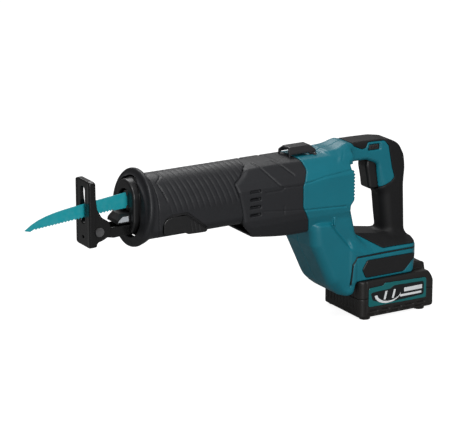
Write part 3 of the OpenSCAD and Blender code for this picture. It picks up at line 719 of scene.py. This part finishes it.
class MakeGrip(bpy.types.Operator):
    """Makes the soft overmould of the handle and the deck"""
    bl_idname = "saw.make_grip"
    bl_label = "Grip"

    def execute(self, context):
        piece = skin("soft_grip", grip_field, (156, -39, 80), (258, 39, 221), sizes().shell_step)
        done(piece, grip_rubber(), ROOT, "black_rubber", "grip_cover")
        return {"FINISHED"}


class MakeGearCover(bpy.types.Operator):
    """Makes the gear cover with its creases and cooling slots"""
    bl_idname = "saw.make_gear_cover"
    bl_label = "Gear cover"

    def execute(self, context):
        piece = skin("gear_shell", gear_cover_field, (-16, -41, 113), (99, 41, 218), sizes().shell_step)
        done(piece, cover_plastic(), ROOT, "grey_plastic", "gear_cover")
        return {"FINISHED"}


def lever_window(x, y, z):
    """The opening that the shoe's lever lies in, on the saw's left side."""
    side = outline(x, z, [(-112, 138), (-112, 160), (-107, 169.4), (-98, 173.3), (-78, 172.8), (-45.5, 146.5),
                          (-44, 138)], [0, 4, 4, 4, 5, 2, 0])
    return np.maximum(side, y + 33.5)


def boot_field(x, y, z):
    """The rubber sleeve: the barrel section with slanting ribs over its upper half, and a rear end that
    follows the gear cover's front edge."""
    section = barrel_section(y, z) + 0.15
    up = step_up(z, 172, 180)
    along = (x + 0.30 * (z - 215)) / sizes().rib_pitch
    notch = np.abs(along - np.round(along)) * sizes().rib_pitch
    ribs = groove(notch, 1.0, sizes().rib_depth) * up * step_up(x, -103, -99)
    # a crease runs from the top down the side behind the flange
    crease_x = np.interp(z, [185, 192, 209, 213], [-103.5, -104.8, -110.4, -101]).astype(np.float32)
    crease = groove(x - crease_x, 0.9, 0.9) * step_up(z, 186, 194)
    body = section + ribs + crease
    body = rounded_both(body, np.maximum(x - 12, -116.3 - x), 0.8)
    body = cut(body, cover_body(x, y, z) - 0.3, 0.4)
    body = cut(body, barrel_section(y, z, 2.0) + 0 * x)
    return cut(body, lever_window(x, y, z))


class MakeSleeve(bpy.types.Operator):
    """Makes the ribbed rubber sleeve over the barrel"""
    bl_idname = "saw.make_sleeve"
    bl_label = "Sleeve"

    def execute(self, context):
        piece = skin("sleeve_ribs", boot_field, (-118, -40, 142), (14, 40, 217), 0.9)
        done(piece, sleeve_rubber(), ROOT, "grey_rubber", "insulation_boot")
        return {"FINISHED"}


def stadium(y, z, w, h, mid=179.5):
    """Distance to an upright rounded bar shape of width w and height h."""
    return np.hypot(y, np.maximum(np.abs(z - mid) - (h - w) / 2, 0)) - w / 2


def guard_field(x, y, z):
    """The tilted flange, dished on its front, and the collar behind it."""
    t = math.radians(7.2)
    u = (x + 133.5) * math.cos(t) + (z - 178) * -math.sin(t)
    w = (x + 133.5) * math.sin(t) + (z - 178) * math.cos(t)
    plate = rounded_both(np.hypot(y, w) - 46.5, np.abs(u - 3.6) - 3.4, 2.8)
    collar = rounded_both(barrel_section(y, z) + 0.2, np.maximum(-134 - x, x + 116.2), 0.8)
    body = either(plate, collar, 7.0)
    hole = np.minimum(np.minimum(np.maximum(stadium(y, z, 43, 68), x + 136), np.maximum(stadium(y, z, 51,
                    73), x + 124.9)),
                      stadium(y, z, 56.6, 73))
    body = cut(body, hole)
    return cut(body, box(x, y, z, (-170, -12.4, 148.2), (-100, 12.4, 162)))


class MakeNose(bpy.types.Operator):
    """Makes the flange and the nose of the barrel"""
    bl_idname = "saw.make_nose"
    bl_label = "Nose"

    def execute(self, context):
        flange = skin("nose_flange", guard_field, (-142, -48, 130), (-115, 48, 226), 0.9)
        done(flange, sleeve_rubber(), ROOT, "grey_rubber", "nose_guard")

        def nose(x, y, z):
            lip = rounded_both(stadium(y, z, 42, 67), np.abs(x + 129) - 12, 2.5)
            step = rounded_both(stadium(y, z, 49.5, 71), np.abs(x + 122) - 9.5, 2.5)
            body = either(lip, step, 2.0)
            body = cut(body, np.maximum(stadium(y, z, 36, 62), -138 - x), 0.8)
            body = cut(body, np.hypot(y, z - 187) - 15.0 + 0 * x, 0.8)
            body = cut(body, box(x, y, z, (-150, -9.4, 155), (-130, 9.4, 173.7), 0.5))
            return cut(body, box(x, y, z, (-170, -12.4, 147.4), (-100, 12.4, 162)))
        piece = skin("nose_tube", nose, (-142, -26, 143), (-112, 26, 216), 0.7)
        done(piece, black_plastic(), ROOT, "black_plastic", "nose_cap")
        return {"FINISHED"}


def shoe_field(x, y, z):
    """The slotted plate and its two ears, which flare back to the pivot in a concave curve."""
    plate = rounded_both(outline(np.abs(y), z, [(-30, 220.5), (17.5, 220.5), (17.5, 140.5), (-30, 140.5)],
                                 [0, 5, 5, 0]), np.abs(x + 192) - 4, 1.8)
    ear = outline(x, z, [(-196, 222), (-188, 222), (-187.6, 200), (-186, 187), (-180, 176.5), (-171, 170.5),
                         (-167.5, 161), (-170.5, 153), (-179, 148.8), (-186, 147), (-188, 139), (-196, 139)],
                  [0, 0, 10, 12, 12, 6, 7, 6, 6, 4, 0, 0])
    ears = rounded_both(rounded_both(ear, np.abs(np.abs(y) - 15.25) - 2.25, 0.9), np.maximum(z - 219,
                    142 - z), 1.0)
    body = either(plate, ears, 1.2)
    body = cut(body, np.maximum(outline(y, z, [(-5.0, 213), (5.0, 213), (5.0, 196), (6.2, 189), (4.6,
                    168), (-4.6, 168),
                                               (-6.2, 189), (-5.0, 196)], [4.8, 4.8, 6, 6, 4, 4, 6, 6]),
                                x + 180), 0.8)
    back = box(x, y, z, (-191.6, -13, 144.5), (-100, 13, 217), 1.0)
    body = cut(body, back, 0.6)
    body = cut(body, np.hypot(y * 0.62, z - 152) - 1.7 + 0 * x, 0.3)
    return cut(body, rod_y(x, y, z, -184, 160, 4.0, -25, 25))


class MakeShoe(bpy.types.Operator):
    """Makes the tilting shoe and its sliding arm"""
    bl_idname = "saw.make_shoe"
    bl_label = "Shoe"

    def execute(self, context):
        piece = skin("shoe_plate", shoe_field, (-197, -18, 139), (-166, 18, 222), 0.6)
        done(piece, black_metal(), "shoe", "black_metal", "shoe")

        def arm(x, y, z):
            side = outline(x, z, [(-184, 167), (-176, 164.4), (-166, 161), (-60, 161), (-60, 148.6),
                                  (-150, 148.6),
                                  (-162, 148.0), (-176, 151), (-184, 153)], [7, 6, 6, 0, 0, 0, 8, 6, 7])
            body = rounded_both(side, np.abs(y) - 12, 1.2)
            body = cut(body, np.maximum(np.maximum(np.abs(y) - 9, 151 - z), -172 - x), 0.8)
            body = cut(body, rod_y(x, y, z, -184, 160, 4.0, -25, 25))
            slots = slab(outline(x, z, [(-140, 153), (-128, 153), (-128, 156.5), (-140, 156.5)], 1.5), y,
                         20, 0.3)
            return cut(body, slots, 0.3)
        piece = skin("shoe_arm", arm, (-192, -13, 147), (-59, 13, 168), 0.7)
        done(piece, black_metal(), "shoe_holder", "black_metal", "shoe_holder")
        return {"FINISHED"}


class MakeLever(bpy.types.Operator):
    """Makes the lever that locks the shoe's arm"""
    bl_idname = "saw.make_lever"
    bl_label = "Shoe lever"

    def execute(self, context):
        def lever(x, y, z):
            side = outline(x, z, [(-109.6, 164), (-106, 168), (-98, 169.9), (-80, 169.3), (-50.5, 147.5),
                                  (-54, 145.4),
                                  (-64, 145.6), (-77, 146), (-82, 148.6), (-88, 151.4), (-90.4, 148.2),
                                  (-107, 148.2),
                                  (-109.8, 152)], [3, 4, 4, 6, 2, 3, 6, 3, 4, 3, 1.5, 3, 3])
            body = rounded_both(side, np.abs(y + 36.2) - 2.1, 1.1)
            tread = np.abs(((x + 0.2 * z) % 5.0) - 2.5)
            face = groove(tread, 0.7, 0.5) * step_up(x, -76, -73) * (1 - step_up(x, -62, -59))
            return both(body, -(y + 38.25 - face), 0.4)
        piece = skin("lever_arm", lever, (-111, -39, 144), (-49, -33, 171), 0.6)
        done(piece, black_plastic(), "lever", "black_plastic", "shoe_lever")
        return {"FINISHED"}


class MakeControls(bpy.types.Operator):
    """Makes the trigger, the lock-off button, the side panels and the hook"""
    bl_idname = "saw.make_controls"
    bl_label = "Controls"

    def execute(self, context):
        fine = sizes().fine_step

        def trigger(x, y, z):
            side = outline(x, z, [(191, 192), (189.6, 184), (192.8, 168), (194.6, 155.2), (198, 153.9),
                                  (218, 154.6),
                                  (218, 192)], [3, 10, 30, 3, 2, 0.5, 0.5])
            body = rounded_both(side, np.abs(y) - 10.8, 4.0)
            body = either(body, rounded_both(side + 1.5, np.maximum(np.abs(y) - 10.8, 200 - x), 1.0))
            return body
        piece = skin("trigger_blade", trigger, (188, -11, 153), (219, 11, 193), fine + 0.1)
        done(piece, black_plastic(), "trigger", "black_plastic", "trigger")

        def lock(x, y, z):
            body = box(x, y, z, (189.3, -16.9, 205.9), (204.7, 16.7, 212.7), 1.2)
            ridges = np.abs(((x - 190) % 3.0) - 1.5)
            return body + groove(ridges, 0.6, 0.45) * (np.abs(y) > 15.5)
        piece = skin("lock_off_slider", lock, (189, -17, 205), (205, 17, 213), fine)
        done(piece, black_plastic(), "lock_off", "black_plastic", "lock_off_button")

        def panels(x, y, z):
            side = outline(x, z, PANEL, [3, 4, 2, 3, 5, 4])
            return slab(side, np.abs(y) - 38.0, 1.0, 0.7)
        piece = skin("foot_panels", panels, (166, -39.2, 50), (246, 39.2, 74), 0.8)
        done(piece, black_plastic(), ROOT, "black_plastic", "side_panels")

        def hook(x, y, z):
            fold = line_path(np.abs(y), z, [(0, 221.3), (7, 221.3), (11.8, 216.5), (11.8, 211.6)]) - 1.15
            side = outline(x, z, [(76.1, 208), (76.9, 218), (81, 223), (108.6, 223), (114.6, 217), (114.6, 210),
                                  (107.8, 210), (105, 214.4), (80, 214.4)], [1, 3, 3, 3, 3, 3, 2, 2, 2])
            body = rounded_both(fold, side, 0.4)
            return cut(body, rod_y(x, y, z, 111, 212.5, 2.05, -20, 20))
        piece = skin("hook_plate", hook, (75, -14, 209), (116, 14, 223.5), fine)
        done(piece, finish("hook_paint", (0.03, 0.03, 0.032), rough=0.34, metal=0.4, grain=500,
                           height=0.15, wear=0.5),
             "hook", "dark_steel", "hanging_hook")
        return {"FINISHED"}


PACK_X0, PACK_X1, PACK_W, PACK_H = 163.0, 276.0, 42.0, 47.0


def pack_field(x, y, z):
    """The battery's case: a round-cornered plan with a sloping shoulder at its rear."""
    plan = outline(x, np.abs(y), [(PACK_X0, -60), (PACK_X1, -60), (PACK_X1, PACK_W), (PACK_X0, PACK_W)],
                   [0, 0, 9, 7])
    side = outline(x, z, [(PACK_X0 - 3, -4), (PACK_X1 + 3, -4), (PACK_X1 + 3, 24), (PACK_X1, 32), (265, PACK_H),
                          (PACK_X0 - 3, PACK_H)], [0, 0, 0, 6, 5, 0])
    lid = np.maximum(side, -z)
    return rounded_both(plan, lid, 2.2)


class MakeBattery(bpy.types.Operator):
    """Makes the battery: two halves of its case, its feet, labels and release button"""
    bl_idname = "saw.make_battery"
    bl_label = "Battery"

    def execute(self, context):
        def pillars(x, y, z):
            """Grooves down the corners of the sides, and ribs on the front end."""
            d = groove(np.abs(x - 172.2), 0.7, 0.8) * (np.abs(y) > 38) * step_up(z, 4, 8)
            front = groove(np.abs(((y + 100) % 7.0) - 3.5), 0.9, 0.8) * (x < 166) * (np.abs(y) < 36) * (z > 8)
            return d + front * (z < 40)

        def case(x, y, z):
            body = pack_field(x, y, z) + pillars(x, y, z)
            label = slab(outline(x, z, [(174.6, 36.0), (176.4, 38.6), (196, 38.8), (199, 42), (262.5,
                    39.4), (262.5, 11.4),
                                        (174.6, 12.6)], [2, 1, 2, 2, 4, 3, 3]), np.abs(y) - 43, 1.6, 0.3)
            body = cut(body, label, 0.3)
            # two rows of slots along each side
            for row, z0 in enumerate((3.2, 7.6)):
                for i in range(5):
                    x0 = 175 + 17.6 * i + 3.0 * row
                    body = cut(body, box(x, np.abs(y), z, (x0, 40.2, z0 - 0.9), (x0 + 11.5, 45, z0 + 0.9),
                                         0.7), 0.5)
            return body

        def lower(x, y, z):
            body = both(case(x, y, z), z - 23.85, 0.5)
            feet = np.hypot(np.minimum(np.abs(x - 175), np.abs(x - 256)), np.abs(np.abs(y) - 34)) - 7
            body = either(body, rounded_both(feet, np.maximum(-3 - z, z - 2), 0.8), 0.8)
            inner = box(x, y, z, (PACK_X0 + 2.2, -PACK_W + 2.2, 2), (PACK_X1 - 2.2, PACK_W - 2.2, 60), 5)
            return cut(body, inner)

        def upper(x, y, z):
            body = both(case(x, y, z), 24.15 - z, 0.5)
            rails = np.minimum(box(x, y, z, (172, -28, 44), (246, 28, 52), 0.3),
                               box(x, y, z, (172, -32, 50.5), (246, 32, 54), 0.6))
            hump = rounded_both(outline(x, z, [(246.2, 40), (246.2, 53.6), (254, 57), (262, 54.6), (269, 42)],
                                        [0, 2, 3, 4, 0]), np.abs(y) - 28, 2.0)
            body = either(np.minimum(body, rails), hump, 1.0)
            body = cut(body, box(x, y, z, (PACK_X0 + 2.2, -PACK_W + 2.2, 10), (253.8, PACK_W - 2.2, 44.8), 4))
            for t in (-12, -4, 4, 12):
                body = cut(body, box(x, y, z, (160, t - 1.2, 43), (206, t + 1.2, 55)))
            body = cut(body, box(x, y, z, (255.5, -20, 33), (290, 20, 70), 0.8))
            return body
        piece = skin("case_lower", lower, (162, -43, -3.2), (277, 43, 24), 1.0)
        done(piece, case_plastic(), "battery", "pack_plastic", "pack_case_lower")
        piece = skin("case_upper", upper, (162, -43, 24), (277, 43, 58), 1.0)
        done(piece, case_plastic(), "battery", "pack_plastic", "pack_case_upper")

        def labels(x, y, z):
            side = outline(x, z, [(175.4, 35.6), (176.8, 37.9), (196.2, 38.1), (199.2, 41.2), (261.7,
                    38.7), (261.7, 12.2),
                                  (175.4, 13.4)], [1.6, 1, 2, 2, 3, 2, 2])
            return slab(side, np.abs(y) - 41.75, 0.28, 0.15)
        piece = skin("label_sheets", labels, (174, -42.4, 11), (263, 42.4, 43), 0.6)
        made = finish("label_print", tuple(colours().label), rough=0.3, grain=400, height=0.03, wear=0.15,
                      coat=0.3)
        done(piece, made, "battery", "label", "pack_labels")

        def print_dark(x, y, z):
            side = outline(x, z, [(178.4, 30.5), (182, 31.8), (207, 32.6), (213, 36), (258, 34.6), (258, 17),
                                  (214, 15.4), (192, 17.2), (181, 21.5)], [1, 3, 5, 4, 3, 3, 8, 8, 4])
            return slab(side, np.abs(y) - 41.9, 0.32, 0.1)
        piece = skin("label_field", print_dark, (177, -42.6, 14), (260, 42.6, 38), 0.5)
        done(piece, finish("label_dark", (0.006, 0.007, 0.008), rough=0.3, grain=400, height=0.03, wear=0.1),
             "battery", "label")

        def print_pale(x, y, z):
            bars = np.minimum(box(x, 0 * y, z, (222, -1, 19.5), (254.5, 1, 22.5), 0.4),
                              box(x, 0 * y, z, (228, -1, 25), (255.5, 1, 30.5), 0.6))
            swoosh = np.maximum(np.hypot(x - 204, (z - 28) * 1.5) - 20, 18.2 - np.hypot(x - 206,
                    (z - 29.4) * 1.5))
            swoosh = np.maximum(swoosh, z - 27)
            tall = np.abs(np.abs(x - 206.5 - 0.25 * (z - 25)) - 6.2) - 1.6
            tall = np.maximum(tall, np.abs(z - 25.2) - 5.6)
            return slab(np.minimum(np.minimum(bars, swoosh), tall), np.abs(y) - 42.0, 0.35, 0.1)
        piece = skin("label_marks", print_pale, (184, -42.8, 12), (259, 42.8, 36), 0.45)
        done(piece, finish("label_pale", (0.62, 0.64, 0.65), rough=0.35, grain=400, height=0.03, wear=0.1),
             "battery", "label")

        def button(x, y, z):
            side = outline(x, z, [(256, 44), (256, 55.2), (260, 54.4), (273.6, 50.5), (275.6, 39), (262,
                    39), (262, 44)],
                           [1, 2, 2, 3, 2, 1, 0])
            body = rounded_both(side, np.abs(y) - 19.4, 1.4)
            ridges = np.abs(((z - 40) % 3.0) - 1.5)
            body = body + groove(ridges, 0.6, 0.5) * (x > 270) * (np.abs(y) < 15)
            return cut(body, np.maximum(np.hypot(x - 259, y) - 2.4, z - 49))
        piece = skin("release_button", button, (255, -20, 38), (276, 20, 56), 0.6)
        done(piece, black_plastic(), "pack_button", "black_plastic", "pack_button")
        return {"FINISHED"}


class FinishFrame(bpy.types.Operator):
    """Gives every remaining piece of the frame its finish"""
    bl_idname = "saw.finish_frame"
    bl_label = "Frame finishes"

    def execute(self, context):
        made = {
            "blade_paint": finish("blade_paint", tuple(colours().blade), worn=(0.1, 0.3, 0.33),
                                  rough=0.38, grain=500,
                                  height=0.08, wear=0.2, gloss=0.3),
            "black_metal": black_metal(),
            "steel": bright_steel(),
            "dark_steel": finish("dark_steel", (0.09, 0.09, 0.092), rough=0.38, metal=0.7, grain=700),
            "bronze": finish("bronze", (0.5, 0.33, 0.15), rough=0.4, metal=1.0),
            "rubber": finish("rubber", (0.015, 0.015, 0.015), rough=0.7),
            "black_plastic": black_plastic(),
            "grey_rubber": sleeve_rubber(),
            "lens": finish("lens", (0.32, 0.34, 0.36), rough=0.12, grain=300, height=0.05, wear=0.1, coat=0.5),
            # Partly the casting's own dark paint, partly painted shade: it is kept near black so the gaps round
            # the lever and the cooling slots, where it shows, read dark.
            "cast_alloy": finish("cast_alloy", (0.018, 0.018, 0.019), rough=0.6, metal=0.2, grain=350,
                                 height=0.5, gloss=0.2),
            "cast_iron": finish("cast_iron", (0.15, 0.15, 0.155), rough=0.55, metal=0.8, grain=300, height=0.5),
            "magnet": finish("magnet", (0.25, 0.25, 0.26), rough=0.35, metal=0.9),
            "lamination": finish("lamination", (0.2, 0.2, 0.21), rough=0.5, metal=0.8, grain=2500, height=0.5),
            "copper": finish("copper", (0.65, 0.28, 0.12), rough=0.35, metal=0.9, grain=1200, height=0.6),
            "circuit": finish("circuit", (0.015, 0.13, 0.05), rough=0.3),
            "grey_plastic": cover_plastic(),
            "teal_plastic": shell_plastic(),
            "black_rubber": grip_rubber(),
            "pack_plastic": case_plastic(),
            "cell": finish("cell", (0.03, 0.12, 0.4), rough=0.3),
            "brass": finish("brass", (0.6, 0.42, 0.16), rough=0.3, metal=1.0),
            "label": finish("label", (0.01, 0.19, 0.19), rough=0.3),
        }
        slots = {part["node"]: part["material_slot"] for part in frame["record"]["subparts"]}
        for name, node in frame["nodes"].items():
            node.data.materials.clear()
            node.data.materials.append(made[slots[name]])
        return {"FINISHED"}


class MakeStage(bpy.types.Operator):
    """Makes the floor, the lamps and the camera"""
    bl_idname = "saw.make_stage"
    bl_label = "Stage"

    def execute(self, context):
        scene = context.scene
        scene.view_settings.view_transform = "Standard"
        world = bpy.data.worlds.new("studio")
        scene.world = world
        world.use_nodes = True
        tree = world.node_tree
        back = tree.nodes["Background"]
        back.inputs["Color"].default_value = (1, 1, 1, 1)
        path = tree.nodes.new("ShaderNodeLightPath")
        seen = tree.nodes.new("ShaderNodeMath")
        seen.operation = "MAXIMUM"
        tree.links.new(path.outputs["Is Camera Ray"], seen.inputs[0])
        tree.links.new(path.outputs["Is Transmission Ray"], seen.inputs[1])
        strength = tree.nodes.new("ShaderNodeMapRange")
        strength.inputs["To Min"].default_value = 0.20
        strength.inputs["To Max"].default_value = 1.0
        tree.links.new(seen.outputs[0], strength.inputs["Value"])
        tree.links.new(strength.outputs["Result"], back.inputs["Strength"])

        bpy.ops.mesh.primitive_grid_add(x_subdivisions=8, y_subdivisions=8, size=6)
        floor = context.object
        floor.name = "floor"
        paper = bpy.data.materials.new("paper")
        paper.use_nodes = True
        nodes, links = paper.node_tree.nodes, paper.node_tree.links
        shader = nodes["Principled BSDF"]
        shader.inputs["Base Color"].default_value = (0.25, 0.25, 0.25, 1)
        shader.inputs["Roughness"].default_value = 0.9
        path = nodes.new("ShaderNodeLightPath")
        shader.inputs["Emission Color"].default_value = (1, 1, 1, 1)
        glow = nodes.new("ShaderNodeMath")
        glow.operation = "MULTIPLY"
        glow.inputs[1].default_value = 0.9
        links.new(path.outputs["Is Camera Ray"], glow.inputs[0])
        links.new(glow.outputs[0], shader.inputs["Emission Strength"])
        floor.data.materials.append(paper)

        def lamp(name, place, aim, size, power):
            light = bpy.data.lights.new(name, "AREA")
            light.shape = "SQUARE"
            light.size = size
            light.energy = power
            thing = bpy.data.objects.new(name, light)
            context.collection.objects.link(thing)
            thing.location = place
            thing.rotation_euler = (Vector(aim) - Vector(place)).to_track_quat("-Z", "Y").to_euler()
        lamp("key", (-0.3, -0.75, 1.6), (0, 0, 0.15), 0.7, 18)
        lamp("fill", (-0.5, -1.9, 0.5), (0.05, 0, 0.12), 0.8, 24)
        lamp("back", (0.4, 1.2, 1.5), (0, 0, 0.15), 0.9, 16)

        camera = bpy.data.cameras.new("camera")
        camera.sensor_width = SENSOR
        camera.lens = LENS
        thing = bpy.data.objects.new("camera", camera)
        context.collection.objects.link(thing)
        a, e = math.radians(sizes().camera_turn), math.radians(sizes().camera_rise)
        right = np.array([math.cos(a), math.sin(a), 0])
        away = np.array([math.sin(a) * math.cos(e), -math.cos(a) * math.cos(e), math.sin(e)])
        up = np.cross(away, right)
        place = (CAMERA_AIM + away * DISTANCE - right * ASIDE + up * ABOVE + SHIFT) / 1000
        thing.matrix_world = Matrix([[*(float(v[i]) for v in (right, up, away)),
                                      float(place[i])] for i in range(3)]
                                    + [[0, 0, 0, 1]])
        scene.camera = thing
        return {"FINISHED"}


class SawPanel(bpy.types.Panel):
    """The sidebar panel that lists the saw's pieces"""
    bl_idname = "VIEW3D_PT_saw"
    bl_label = "Reciprocating saw"
    bl_space_type = "VIEW_3D"
    bl_region_type = "UI"
    bl_category = "Saw"

    def draw(self, context):
        for step in STEPS:
            self.layout.operator(step.bl_idname)
        for group in (context.scene.saw_sizes, context.scene.saw_colours):
            for name in group.bl_rna.properties.keys():
                if name not in ("rna_type", "name"):
                    self.layout.prop(group, name)


STEPS = (MakeStage, FinishFrame, MakeHousing, MakeSeam, MakeGrip, MakeGearCover, MakeSleeve, MakeNose,
         MakeShoe, MakeLever,
         MakeControls, MakeBattery)
CLASSES = (SawSizes, SawColours, *STEPS, SawPanel)


def register():
    for kind in CLASSES:
        bpy.utils.register_class(kind)
    bpy.types.Scene.saw_sizes = bpy.props.PointerProperty(type=SawSizes)
    bpy.types.Scene.saw_colours = bpy.props.PointerProperty(type=SawColours)


def unregister():
    del bpy.types.Scene.saw_sizes
    del bpy.types.Scene.saw_colours
    for kind in reversed(CLASSES):
        bpy.utils.unregister_class(kind)


def main():
    register()
    for step in STEPS:
        area, name = step.bl_idname.split(".")
        getattr(getattr(bpy.ops, area), name)()


if __name__ == "__main__":
    main()
